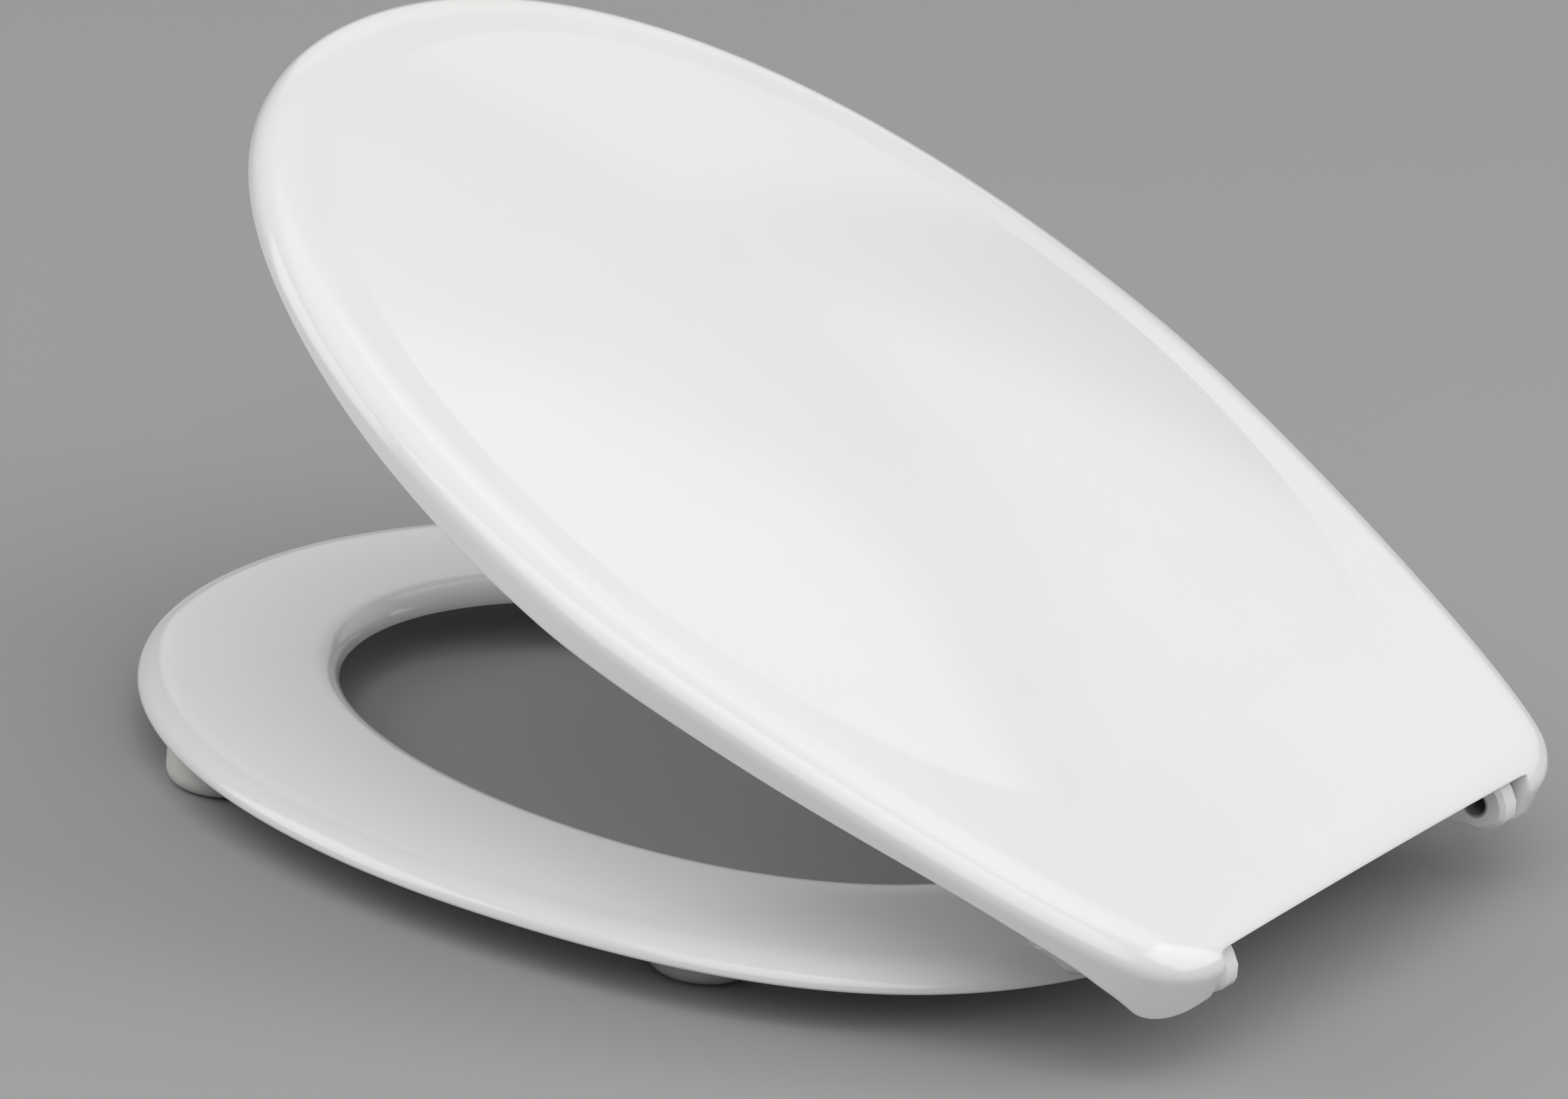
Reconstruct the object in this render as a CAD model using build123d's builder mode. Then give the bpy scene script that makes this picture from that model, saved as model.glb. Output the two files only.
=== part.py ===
"""Toilet seat with its lid standing part open.

A low crowned ring on four buffers carries a lug at each rear corner. A sleeve through each
lug is the pivot of the lid's ear, and takes the pin of a hinge post from inside.
"""
import os
from math import cos, radians, sin, sqrt, tan

from build123d import *

# Place of the hinge, the line that the lid turns about, and how far the lid stands open
HINGE_Y = 210.2
HINGE_Z = 32.6
LID_OPEN_DEG = 24.6
LID_CLOSED_DEG = -1.6

# Plan of the ring's outer edge, measured back and forth from the hinge line
RING_HALF_WIDTH = 181.5
RING_FRONT = -431.8
RING_WIDEST = -211.0
RING_REAR = -26.0

# Plan of the opening
OPENING_HALF_WIDTH = 112.0
OPENING_FRONT = -367.8
OPENING_WIDEST = -208.3
OPENING_REAR = -85.3

# Fullness of the ring's curves at the nose, the side and the rear, for its edge and its opening
NOSE_PULL = (0.57, 0.56)
SIDE_PULL = (0.54, 0.58)
REAR_PULL = (0.76, 0.63)

# Section of the ring
BUFFER_HEIGHT = 15.0
RING_THICKNESS = 9.0
SHOULDER_WIDTH = 14.0
SHOULDER_HEIGHT = 7.0
CREST_RISE = 1.0
LIP_WIDTH = 10.0
LIP_HEIGHT = 8.0
INNER_WALL_FLARE = 0.5
RING_WALL = 7.0
RING_ROOF = 5.0

# Hinge lugs and the arms that carry them
LUG_INNER_X = 86.3
LUG_WIDTH = 10.0
LUG_CENTRE = (0.4, 0.6)
LUG_RADIUS = 9.5
LUG_EDGE = 1.2
LUG_HEEL = (9.6, -4.5)
LUG_HEEL_DEG = 60.0
ARM_ROOT_Y = -62.0
ARM_ROOT_WIDTH = 34.0
ARM_NECK_Y = -12.0
ARM_TOP_GAP = 1.5
ARM_TOP_DEG = 102.0
ARM_FOOT_DEG = 252.0

# Hinge bushes
BUSH_RADIUS = 4.5
BUSH_BORE_RADIUS = 3.75
FLANGE_RADIUS = 7.5
FLANGE_THICKNESS = 2.7
BUSH_IN_EAR = 8.5
RUNNING_CLEARANCE = 0.05
END_CLEARANCE = 0.3

# Plan of the lid, measured from the hinge line
LID_HALF_WIDTH = 186.0
LID_FRONT = -438.1
LID_WIDEST = -207.7
LID_NOSE_PULL = 0.595
LID_SIDE_PULL = 56.5
LID_CORNER_PULL = 27.0
LID_REAR = 10.0
CORNER_RADIUS = 57.6
CORNER_CENTRE_X = 95.0
CORNER_START_DEG = 48.5

# Section of the lid, measured up from the hinge line
LID_TOP = 17.2
LID_CAMBER = 4.8
LID_WALL = 5.4
REAR_EDGE = 3.2
RIM_RADIUS = 13.0
LOBE_CENTRE = (3.3, -1.6)
LOBE_RADIUS = 6.7
LOBE_START_DEG = 225.0
EAR_BLOCK_Y = -15.0
EAR_BLOCK = 40.0
LID_DEPTH = 20.0

# Lower edge of the lid's skirt, measured up from the hinge line
SKIRT_FRONT = 7.5
SKIRT_QUARTER = 5.0
SKIRT_QUARTER_Y = -350.0
SKIRT_SIDE = -0.5
SKIRT_REAR = 3.9
SKIRT_EAR = -0.8
SKIRT_EAR_Y = -11.0

# Crowned panel on the lid
CROWN = 8.0
PANEL_BORDER = 25.0
PANEL_REAR = -62.0
PANEL_REAR_STRAIGHT = 80.0
PANEL_SIDE_PULL = 45.0
PANEL_REAR_PULL = 51.0
PANEL_SINK = 0.3
PANEL_ROOT = 3.0
PANEL_SECTIONS = {"nose": (0.1, 0.3, 0.6, 1.0), "flank": (0.3, 0.55, 0.8, 1.0)}

# Buffers
SEAT_BUFFER_RADIUS = 18.0
SEAT_BUFFER_FOOT = 13.0
SEAT_BUFFER_ROUND = 5.0
FRONT_BUFFER_INSET = (62.5, 82.8)
REAR_BUFFER_INSET = (44.0, 60.0)
LID_BUFFER_WIDTH = 12.0
LID_BUFFER_LENGTH = 20.0
LID_BUFFER_BOSS = 3.0
LID_BUFFER_EDGE = 1.5
LID_BUFFER_INSET = (91.0, 60.0)
PEG_SIDE = 7.0
PEG_LENGTH = 4.0
BOSS_WALL = 4.0

RING_BOTTOM = BUFFER_HEIGHT
RING_TOP = RING_BOTTOM + RING_THICKNESS
RING_WIDTH = RING_HALF_WIDTH - OPENING_HALF_WIDTH
LUG_OUTER_X = LUG_INNER_X + LUG_WIDTH
EAR_INNER_X = LUG_OUTER_X + FLANGE_THICKNESS + END_CLEARANCE
EAR_BORE = BUSH_IN_EAR + END_CLEARANCE
SHOULDER_TOP = RING_TOP - CREST_RISE
SEAT_BUFFERS = {
    "front": (RING_HALF_WIDTH - FRONT_BUFFER_INSET[0], RING_FRONT + FRONT_BUFFER_INSET[1]),
    "rear": (RING_HALF_WIDTH - REAR_BUFFER_INSET[0], RING_WIDEST + REAR_BUFFER_INSET[1]),
}
LID_BUFFER_AT = (LID_HALF_WIDTH - LID_BUFFER_INSET[0], LID_FRONT + LID_BUFFER_INSET[1])
SIDES = {"left": 1, "right": -1}
QUARTER = (0, 30, 60, 90)
OVERRUN = 10.0

GROUND = Plane((0, HINGE_Y, 0))
HINGE = Plane((0, HINGE_Y, HINGE_Z), x_dir=(0, 1, 0), z_dir=(1, 0, 0))
LID = Plane(
    (0, HINGE_Y, HINGE_Z),
    x_dir=(1, 0, 0),
    z_dir=(0, sin(radians(LID_OPEN_DEG)), cos(radians(LID_OPEN_DEG))),
)
LID_SIDE = Plane(LID.origin, x_dir=LID.y_dir, z_dir=(1, 0, 0))
LID_SECTION = Plane(LID.origin, x_dir=(1, 0, 0), z_dir=-LID.y_dir)


def ring_outline(share):
    """Edges of the outline that lies the given share of the way from the ring's edge to its opening."""
    half = RING_HALF_WIDTH + share * (OPENING_HALF_WIDTH - RING_HALF_WIDTH)
    front = RING_FRONT + share * (OPENING_FRONT - RING_FRONT)
    wide = RING_WIDEST + share * (OPENING_WIDEST - RING_WIDEST)
    rear = RING_REAR + share * (OPENING_REAR - RING_REAR)
    nose, side, back = [
        edge + share * (opening - edge) for edge, opening in (NOSE_PULL, SIDE_PULL, REAR_PULL)
    ]
    with BuildLine() as outline:
        Bezier((0, front), (nose * half, front), (half, wide + nose * (front - wide)), (half, wide))
        Bezier((half, wide), (half, wide + side * (rear - wide)), (back * half, rear), (0, rear))
        mirror(about=Plane.YZ)
    return outline.edges()


def lid_outline(inset):
    """Edges of the lid's outline, drawn in by the inset all round."""
    half = LID_HALF_WIDTH - inset
    front = LID_FRONT + inset
    turn = CORNER_RADIUS - inset
    centre = Vector(CORNER_CENTRE_X, LID_REAR - CORNER_RADIUS)
    with BuildLine() as outline:
        Bezier(
            (0, front),
            (LID_NOSE_PULL * half, front),
            (half, LID_WIDEST + LID_NOSE_PULL * (front - LID_WIDEST)),
            (half, LID_WIDEST),
        )
        corner = CenterArc(centre, turn, CORNER_START_DEG, 90 - CORNER_START_DEG)
        Bezier(
            (half, LID_WIDEST),
            (half, LID_WIDEST + LID_SIDE_PULL),
            (corner @ 0) - (corner % 0) * LID_CORNER_PULL,
            corner @ 0,
        )
        Line(corner @ 1, (0, LID_REAR - inset))
        mirror(about=Plane.YZ)
    return outline.edges()


def lid_height(x):
    """Height of the lid's cambered top above the hinge line, at a distance from the middle."""
    return LID_TOP - LID_CAMBER * (x / LID_HALF_WIDTH) ** 2


def arch_outline(drop):
    """Edges of the section under the lid's cambered top, let down by the drop."""
    reach = LID_HALF_WIDTH + OVERRUN
    side = lid_height(reach) - drop
    with BuildLine() as outline:
        ThreePointArc((-reach, side), (0, LID_TOP - drop), (reach, side))
        Polyline((-reach, side), (-reach, -LID_DEPTH), (reach, -LID_DEPTH), (reach, side))
    return outline.edges()


def panel_stations():
    """Half width and place of the crowned panel at sections from its front to its rear."""
    half = LID_HALF_WIDTH - PANEL_BORDER
    front = LID_FRONT + PANEL_BORDER
    with BuildLine():
        nose = Bezier(
            (0, front),
            (LID_NOSE_PULL * half, front),
            (half, LID_WIDEST + LID_NOSE_PULL * (front - LID_WIDEST)),
            (half, LID_WIDEST),
        )
        flank = Bezier(
            (half, LID_WIDEST),
            (half, LID_WIDEST + PANEL_SIDE_PULL),
            (PANEL_REAR_STRAIGHT + PANEL_REAR_PULL, PANEL_REAR),
            (PANEL_REAR_STRAIGHT, PANEL_REAR),
        )
    curves = {"nose": nose, "flank": flank}
    return [curves[name] @ share for name, shares in PANEL_SECTIONS.items() for share in shares]


def panel_rise(y):
    """Height of the panel's crown above the cambered top, along the middle of the lid."""
    front = LID_FRONT + PANEL_BORDER
    middle = (front + PANEL_REAR) / 2
    return CROWN * (1 - ((y - middle) / (PANEL_REAR - middle)) ** 2)


def lug_point(angle):
    """Point on the lug's round, at an angle up from straight back."""
    return (
        LUG_CENTRE[0] + LUG_RADIUS * cos(radians(angle)),
        LUG_CENTRE[1] + LUG_RADIUS * sin(radians(angle)),
    )


# Faces of the lid's buffers: the tip stands just clear of the ring with the lid shut
LID_BUFFER_TOP = lid_height(LID_BUFFER_AT[0]) - LID_WALL - LID_BUFFER_BOSS
closing = radians(LID_CLOSED_DEG)
LID_BUFFER_TIP = (RING_TOP + END_CLEARANCE - HINGE_Z + LID_BUFFER_AT[1] * sin(closing)) / cos(closing)

with BuildPart() as barrel:
    # The lug is a short barrel with a heel at its lower rear and a bevelled inner end
    with BuildSketch(HINGE.offset(LUG_INNER_X)):
        with Locations(LUG_CENTRE):
            Circle(LUG_RADIUS)
        with BuildLine():
            Polyline(
                LUG_CENTRE,
                lug_point(0),
                LUG_HEEL,
                lug_point(-LUG_HEEL_DEG),
                close=True,
            )
        make_face()
    extrude(amount=LUG_WIDTH)
    chamfer(barrel.faces().sort_by(Axis.X)[0].edges(), LUG_EDGE)

with BuildPart() as lug:
    # The arm widens from the lug forwards and sinks into the ring
    with BuildSketch(GROUND.offset(RING_BOTTOM)):
        middle = LUG_INNER_X + LUG_WIDTH / 2
        with BuildLine():
            Polyline(
                (LUG_INNER_X, 0),
                (LUG_OUTER_X, 0),
                (LUG_OUTER_X, ARM_NECK_Y),
                (middle + ARM_ROOT_WIDTH / 2, ARM_ROOT_Y),
                (middle - ARM_ROOT_WIDTH / 2, ARM_ROOT_Y),
                (LUG_INNER_X, ARM_NECK_Y),
                close=True,
            )
        make_face()
    extrude(amount=2 * HINGE_Z)
    with BuildSketch(HINGE):
        with BuildLine():
            Polyline(
                lug_point(ARM_TOP_DEG),
                (ARM_ROOT_Y, RING_TOP - ARM_TOP_GAP - HINGE_Z),
                (ARM_ROOT_Y, RING_BOTTOM - HINGE_Z),
                lug_point(ARM_FOOT_DEG),
                close=True,
            )
        make_face()
    extrude(amount=2 * LUG_OUTER_X, mode=Mode.INTERSECT)
    add(barrel.part)

with BuildPart() as seat_ring:
    with BuildSketch(GROUND.offset(RING_BOTTOM)):
        make_face(ring_outline(0))
    for angle in QUARTER:
        share = SHOULDER_WIDTH / RING_WIDTH * (1 - cos(radians(angle)))
        with BuildSketch(GROUND.offset(SHOULDER_TOP - SHOULDER_HEIGHT * (1 - sin(radians(angle))))):
            make_face(ring_outline(share))
    with BuildSketch(GROUND.offset(RING_TOP)):
        make_face(ring_outline(1 - LIP_WIDTH / RING_WIDTH))
    loft(ruled=True)
    # The crest rolls over a broad lip into the opening
    with BuildSketch(GROUND.offset(RING_BOTTOM)):
        make_face(ring_outline(1 + INNER_WALL_FLARE / RING_WIDTH))
    for angle in QUARTER:
        share = 1 - LIP_WIDTH / RING_WIDTH * (1 - cos(radians(angle)))
        with BuildSketch(GROUND.offset(RING_TOP - LIP_HEIGHT * (1 - sin(radians(angle))))):
            make_face(ring_outline(share))
    loft(ruled=True, mode=Mode.SUBTRACT)
    # A channel runs round the underside, with a boss in it over each buffer
    with BuildSketch(GROUND.offset(RING_BOTTOM)):
        make_face(ring_outline(RING_WALL / RING_WIDTH))
        make_face(ring_outline(1 - RING_WALL / RING_WIDTH), mode=Mode.SUBTRACT)
        for x, y in SEAT_BUFFERS.values():
            with Locations((x, y), (-x, y)):
                Rectangle(PEG_SIDE + 2 * BOSS_WALL, PEG_SIDE + 2 * BOSS_WALL, mode=Mode.SUBTRACT)
    extrude(amount=RING_TOP - RING_ROOF - RING_BOTTOM, mode=Mode.SUBTRACT)
    with BuildSketch(GROUND.offset(RING_BOTTOM)):
        for x, y in SEAT_BUFFERS.values():
            with Locations((x, y), (-x, y)):
                Rectangle(PEG_SIDE, PEG_SIDE)
    extrude(amount=PEG_LENGTH, mode=Mode.SUBTRACT)
    add(lug.part)
    mirror(lug.part, about=Plane.YZ)
    with BuildSketch(HINGE):
        Circle(BUSH_RADIUS)
    extrude(amount=LUG_OUTER_X + OVERRUN, both=True, mode=Mode.SUBTRACT)

with BuildPart() as hollow:
    # The space under the lid stops short of the ears
    with BuildSketch(LID.offset(-LID_DEPTH)):
        make_face(lid_outline(LID_WALL))
        with Locations((0, EAR_BLOCK_Y)):
            Rectangle(2 * LID_HALF_WIDTH, EAR_BLOCK, align=(Align.CENTER, Align.MIN), mode=Mode.SUBTRACT)
    extrude(amount=LID_DEPTH + LID_TOP)
    with BuildSketch(LID_SECTION.offset(-EAR_BLOCK)):
        make_face(arch_outline(LID_WALL))
    extrude(amount=EAR_BLOCK - LID_FRONT, mode=Mode.INTERSECT)

with BuildPart() as rear_gap:
    # Between the ears it runs out under the thinner rear edge
    with BuildSketch(LID.offset(-LID_DEPTH)):
        with Locations((0, EAR_BLOCK_Y - OVERRUN)):
            Rectangle(2 * EAR_INNER_X, EAR_BLOCK, align=(Align.CENTER, Align.MIN))
    extrude(amount=LID_DEPTH + LID_TOP)
    with BuildSketch(LID_SECTION.offset(-EAR_BLOCK)):
        make_face(arch_outline(REAR_EDGE))
    extrude(amount=2 * EAR_BLOCK, mode=Mode.INTERSECT)

with BuildPart() as lid:
    with BuildSketch(LID.offset(-LID_DEPTH)):
        make_face(lid_outline(0))
    extrude(amount=LID_DEPTH + LID_TOP)
    with BuildSketch(LID_SECTION.offset(-EAR_BLOCK)):
        make_face(arch_outline(0))
    extrude(amount=EAR_BLOCK - LID_FRONT + OVERRUN, mode=Mode.INTERSECT)
    # Three flats ease the rim round: one at 45 degrees, then one on each of its own edges
    up = Axis(LID.origin, LID.z_dir)
    chamfer(lid.faces().sort_by(up)[-1].edges(), RIM_RADIUS * (2 - sqrt(2)))
    walls = lid.faces().filter_by(lambda face: abs(face.normal_at().dot(LID.z_dir)) < 0.01)
    ease = RIM_RADIUS * (tan(radians(22.5)) - tan(radians(11.25)))
    chamfer([wall.edges().sort_by(up)[-1] for wall in walls], ease)
    chamfer(lid.faces().sort_by(up)[-1].edges(), ease)
    # The skirt's lower edge dips along the sides and drops round the ears
    start = Vector(LID_FRONT - OVERRUN, SKIRT_FRONT)
    deep = -LID_DEPTH
    with BuildSketch(LID_SIDE):
        with BuildLine():
            lobe = CenterArc(LOBE_CENTRE, LOBE_RADIUS, LOBE_START_DEG, 360 - LOBE_START_DEG)
            Spline(
                start,
                (SKIRT_QUARTER_Y, SKIRT_QUARTER),
                (LID_WIDEST, SKIRT_SIDE),
                (PANEL_REAR, SKIRT_REAR),
                (SKIRT_EAR_Y, SKIRT_EAR),
                lobe @ 0,
            )
            Polyline(lobe @ 1, (EAR_BLOCK, LOBE_CENTRE[1]), (EAR_BLOCK, deep), (start.X, deep), start)
        make_face()
    extrude(amount=LID_HALF_WIDTH + OVERRUN, both=True, mode=Mode.SUBTRACT)
    add(hollow.part, mode=Mode.SUBTRACT)
    add(rear_gap.part, mode=Mode.SUBTRACT)
    # The crowned panel rises out of the cambered top, and the space under it follows
    for drop, mode in ((PANEL_SINK, Mode.ADD), (PANEL_SINK + LID_WALL, Mode.SUBTRACT)):
        for station in panel_stations():
            half = station.X
            edge = lid_height(half) - drop
            ridge = LID_TOP - drop
            root = edge - PANEL_ROOT
            with BuildSketch(LID_SECTION.offset(-station.Y)):
                with BuildLine():
                    ThreePointArc((-half, edge), (0, ridge + panel_rise(station.Y)), (half, edge))
                    Line((half, edge), (half, root))
                    ThreePointArc((half, root), (0, ridge - PANEL_ROOT), (-half, root))
                    Line((-half, root), (-half, edge))
                make_face()
        loft(mode=mode)
    # Bosses for the lid's buffers hang from the roof near the front
    x, y = LID_BUFFER_AT
    with BuildSketch(LID.offset(LID_BUFFER_TOP)):
        with Locations((x, y), (-x, y)):
            Rectangle(LID_BUFFER_LENGTH, LID_BUFFER_WIDTH)
    extrude(amount=LID_BUFFER_BOSS + LID_WALL / 2)
    with BuildSketch(LID.offset(LID_BUFFER_TOP)):
        with Locations((x, y), (-x, y)):
            Rectangle(PEG_SIDE, PEG_SIDE)
    extrude(amount=PEG_LENGTH, mode=Mode.SUBTRACT)
    # Blind bores in the ears turn on the bushes
    with BuildSketch(HINGE.offset(EAR_INNER_X), HINGE.offset(-EAR_INNER_X - EAR_BORE)):
        Circle(BUSH_RADIUS + RUNNING_CLEARANCE)
    extrude(amount=EAR_BORE, mode=Mode.SUBTRACT)

with BuildPart() as bush:
    with BuildSketch(HINGE.offset(LUG_INNER_X)):
        Circle(BUSH_RADIUS)
    extrude(amount=EAR_INNER_X + BUSH_IN_EAR - LUG_INNER_X)
    with BuildSketch(HINGE.offset(LUG_OUTER_X)):
        Circle(FLANGE_RADIUS)
    extrude(amount=FLANGE_THICKNESS)
    with BuildSketch(HINGE):
        Circle(BUSH_BORE_RADIUS)
    extrude(amount=EAR_INNER_X + EAR_BLOCK, mode=Mode.SUBTRACT)

with BuildPart() as seat_buffer:
    with BuildSketch(Plane.XZ):
        with BuildLine():
            Polyline(
                (0, 0),
                (SEAT_BUFFER_FOOT, 0),
                (SEAT_BUFFER_RADIUS, SEAT_BUFFER_ROUND),
                (SEAT_BUFFER_RADIUS, BUFFER_HEIGHT),
                (0, BUFFER_HEIGHT),
                close=True,
            )
        make_face()
    revolve(axis=Axis.Z)
    with BuildSketch(Plane.XY.offset(BUFFER_HEIGHT)):
        Rectangle(PEG_SIDE, PEG_SIDE)
    extrude(amount=PEG_LENGTH - END_CLEARANCE)

with BuildPart() as lid_buffer:
    with BuildSketch():
        Rectangle(LID_BUFFER_LENGTH, LID_BUFFER_WIDTH)
    extrude(amount=LID_BUFFER_TOP - LID_BUFFER_TIP)
    chamfer(lid_buffer.faces().sort_by(Axis.Z)[0].edges(), LID_BUFFER_EDGE)
    with BuildSketch(Plane.XY.offset(LID_BUFFER_TOP - LID_BUFFER_TIP)):
        Rectangle(PEG_SIDE, PEG_SIDE)
    extrude(amount=PEG_LENGTH - END_CLEARANCE)

os.makedirs("parts", exist_ok=True)
seat_ring.part.label = "seat_ring"
export_step(seat_ring.part, "parts/seat_ring.step")
lid.part.label = "lid"
export_step(lid.part, "parts/lid.step")

for side, sign in SIDES.items():
    with BuildPart() as hinge_bush:
        if sign > 0:
            add(bush.part)
        else:
            mirror(bush.part, about=Plane.YZ)
    hinge_bush.part.label = f"hinge_bush_{side}"
    export_step(hinge_bush.part, f"parts/hinge_bush_{side}.step")

    with BuildPart() as placed_lid_buffer:
        with Locations(LID.offset(LID_BUFFER_TIP) * Location((sign * LID_BUFFER_AT[0], LID_BUFFER_AT[1]))):
            add(lid_buffer.part)
    placed_lid_buffer.part.label = f"lid_buffer_{side}"
    export_step(placed_lid_buffer.part, f"parts/lid_buffer_{side}.step")

    for place, (x, y) in SEAT_BUFFERS.items():
        with BuildPart() as placed_seat_buffer:
            with Locations((sign * x, HINGE_Y + y, 0)):
                add(seat_buffer.part)
        placed_seat_buffer.part.label = f"seat_buffer_{place}_{side}"
        export_step(placed_seat_buffer.part, f"parts/seat_buffer_{place}_{side}.step")
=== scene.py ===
"""Toilet seat with its lid part open, dressed for a studio picture."""
from math import acos, cos, pi, radians, sin, tan

import bpy
from mathutils import Matrix, Vector


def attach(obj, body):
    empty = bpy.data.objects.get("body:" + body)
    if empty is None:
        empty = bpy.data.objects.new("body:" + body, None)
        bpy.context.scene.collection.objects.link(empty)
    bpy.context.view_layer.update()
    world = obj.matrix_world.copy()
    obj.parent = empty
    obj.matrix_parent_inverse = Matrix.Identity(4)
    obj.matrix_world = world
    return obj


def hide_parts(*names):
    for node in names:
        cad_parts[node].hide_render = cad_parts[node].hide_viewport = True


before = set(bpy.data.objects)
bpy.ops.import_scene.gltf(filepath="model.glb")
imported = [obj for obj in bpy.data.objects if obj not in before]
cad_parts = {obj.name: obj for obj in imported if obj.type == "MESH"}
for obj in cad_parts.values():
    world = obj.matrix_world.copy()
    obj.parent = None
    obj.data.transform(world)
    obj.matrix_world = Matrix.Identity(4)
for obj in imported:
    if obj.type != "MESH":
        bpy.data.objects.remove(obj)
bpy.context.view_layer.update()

# Seat ring
# The seat proper is one compression moulding of white urea thermoset, hollow underneath. Its
# crowned top rolls over a broad lip into the opening. A lug on an arm at each rear corner is
# part of the same moulding, and the hinge passes through it.
MM = 0.001
hinge_y = 210.2
hinge_z = 32.6
ring_edge = {"half": 181.5, "front": -431.8, "wide": -211.0, "rear": -26.0}
ring_opening = {"half": 112.0, "front": -367.8, "wide": -208.3, "rear": -85.3}
nose_pull = (0.57, 0.56)
side_pull = (0.58, 0.58)
rear_pull = (0.80, 0.63)
ring_width = ring_edge["half"] - ring_opening["half"]
ring_foot = 15.0
shoulder_top = 23.0
shoulder_size = (14.0, 7.0)
crest_top = 24.0
lip_size = (10.0, 8.0)
foot_round = 0.9
foot_mid = 0.3 * foot_round
channel_wall = 7.0
channel_roof = 19.0
channel_ease = 0.8
curve_steps = 64
round_steps = 12
crest_steps = 8


def bezier(points, count):
    """Points along a cubic curve, without its last one."""
    a, b, c, d = [Vector(p) for p in points]
    steps = [i / count for i in range(count)]
    return [
        a * (1 - t) ** 3 + b * 3 * t * (1 - t) ** 2 + c * 3 * t * t * (1 - t) + d * t ** 3
        for t in steps
    ]


def between(pair, share):
    """Value the given share of the way from the first to the second."""
    return pair[0] + share * (pair[1] - pair[0])


def ring_loop(share, height):
    """Closed loop round the ring, a share of the way from its edge to its opening."""
    half, front, wide, rear = [
        between((ring_edge[k], ring_opening[k]), share) for k in ("half", "front", "wide", "rear")
    ]
    nose, side, back = [between(pull, share) for pull in (nose_pull, side_pull, rear_pull)]
    right = bezier(
        ((0, front), (nose * half, front), (half, wide + nose * (front - wide)), (half, wide)),
        curve_steps,
    )
    right += bezier(
        ((half, wide), (half, wide + side * (rear - wide)), (back * half, rear), (0, rear)),
        curve_steps,
    )
    left = [Vector((-p.x, p.y)) for p in reversed(right[1:])]
    return [Vector((p.x, hinge_y + p.y, height)) * MM for p in right + [Vector((0, rear))] + left]


def new_piece(name, points, edges, faces):
    """Object made of the given points, edges and faces."""
    mesh = bpy.data.meshes.new(name)
    mesh.from_pydata(points, edges, faces)
    piece = bpy.data.objects.new(name, mesh)
    bpy.context.collection.objects.link(piece)
    return piece


def skin(name, rows, closed_rows=False, closed_columns=False):
    """Object whose faces join rows of points to each other."""
    width = len(rows[0])
    across = width if closed_columns else width - 1
    down = len(rows) if closed_rows else len(rows) - 1
    faces = [
        (
            r * width + c,
            r * width + (c + 1) % width,
            (r + 1) % len(rows) * width + (c + 1) % width,
            (r + 1) % len(rows) * width + c,
        )
        for r in range(down)
        for c in range(across)
    ]
    return new_piece(name, [p for row in rows for p in row], [], faces)


def pick(piece):
    """Makes one object the only one selected, and active."""
    bpy.ops.object.select_all(action="DESELECT")
    piece.select_set(True)
    bpy.context.view_layer.objects.active = piece


def close_up(piece, gap=1e-6):
    """Merges the points that meet and turns all faces outwards."""
    pick(piece)
    bpy.ops.object.mode_set(mode="EDIT")
    bpy.ops.mesh.select_all(action="SELECT")
    bpy.ops.mesh.remove_doubles(threshold=gap)
    bpy.ops.mesh.dissolve_degenerate(threshold=gap)
    bpy.ops.mesh.normals_make_consistent(inside=False)
    bpy.ops.object.mode_set(mode="OBJECT")


def combine(piece, other, operation):
    """Joins another solid to the piece, or cuts it out, and drops the other."""
    pick(piece)
    cut = piece.modifiers.new("combine", "BOOLEAN")
    cut.operation = operation
    cut.solver = "EXACT"
    cut.object = other
    bpy.ops.object.modifier_apply(modifier=cut.name)
    bpy.data.objects.remove(other)


def smooth(piece, degrees):
    """Shades the piece smooth, with edges sharper than the angle left crisp."""
    pick(piece)
    bpy.ops.object.shade_smooth_by_angle(angle=radians(degrees), keep_sharp_edges=False)


# The section goes up the outer wall, over the crest, down into the opening and back underneath. Each
# place on it is a share of the ring's width and a height.
section = [
    (foot_round / ring_width, ring_foot),
    (foot_mid / ring_width, ring_foot + foot_mid),
    (0, ring_foot + foot_round),
]
for step in range(round_steps + 1):
    angle = radians(90 * step / round_steps)
    section.append((
        shoulder_size[0] / ring_width * (1 - cos(angle)),
        shoulder_top - shoulder_size[1] * (1 - sin(angle)),
    ))
crest = (shoulder_size[0] / ring_width, 1 - lip_size[0] / ring_width)
for step in range(1, crest_steps):
    swell = sin(pi * step / (2 * crest_steps))
    section.append((between(crest, step / crest_steps), between((shoulder_top, crest_top), swell)))
for step in range(round_steps, -1, -1):
    angle = radians(90 * step / round_steps)
    section.append((
        1 - lip_size[0] / ring_width * (1 - cos(angle)),
        crest_top - lip_size[1] * (1 - sin(angle)),
    ))
inner_strip = 1 - channel_wall / ring_width
outer_strip = channel_wall / ring_width
ease_share = channel_ease / ring_width
section += [
    (1 - foot_mid / ring_width, ring_foot + foot_mid),
    (1 - foot_round / ring_width, ring_foot),
    (inner_strip + ease_share, ring_foot),
    (inner_strip, ring_foot + channel_ease),
    (inner_strip, channel_roof - channel_ease),
    (inner_strip - ease_share, channel_roof),
    (outer_strip + ease_share, channel_roof),
    (outer_strip, channel_roof - channel_ease),
    (outer_strip, ring_foot + channel_ease),
    (outer_strip - ease_share, ring_foot),
]
seat_ring = skin("seat_ring_moulding", [ring_loop(*place) for place in section], True, True)
close_up(seat_ring)

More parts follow.
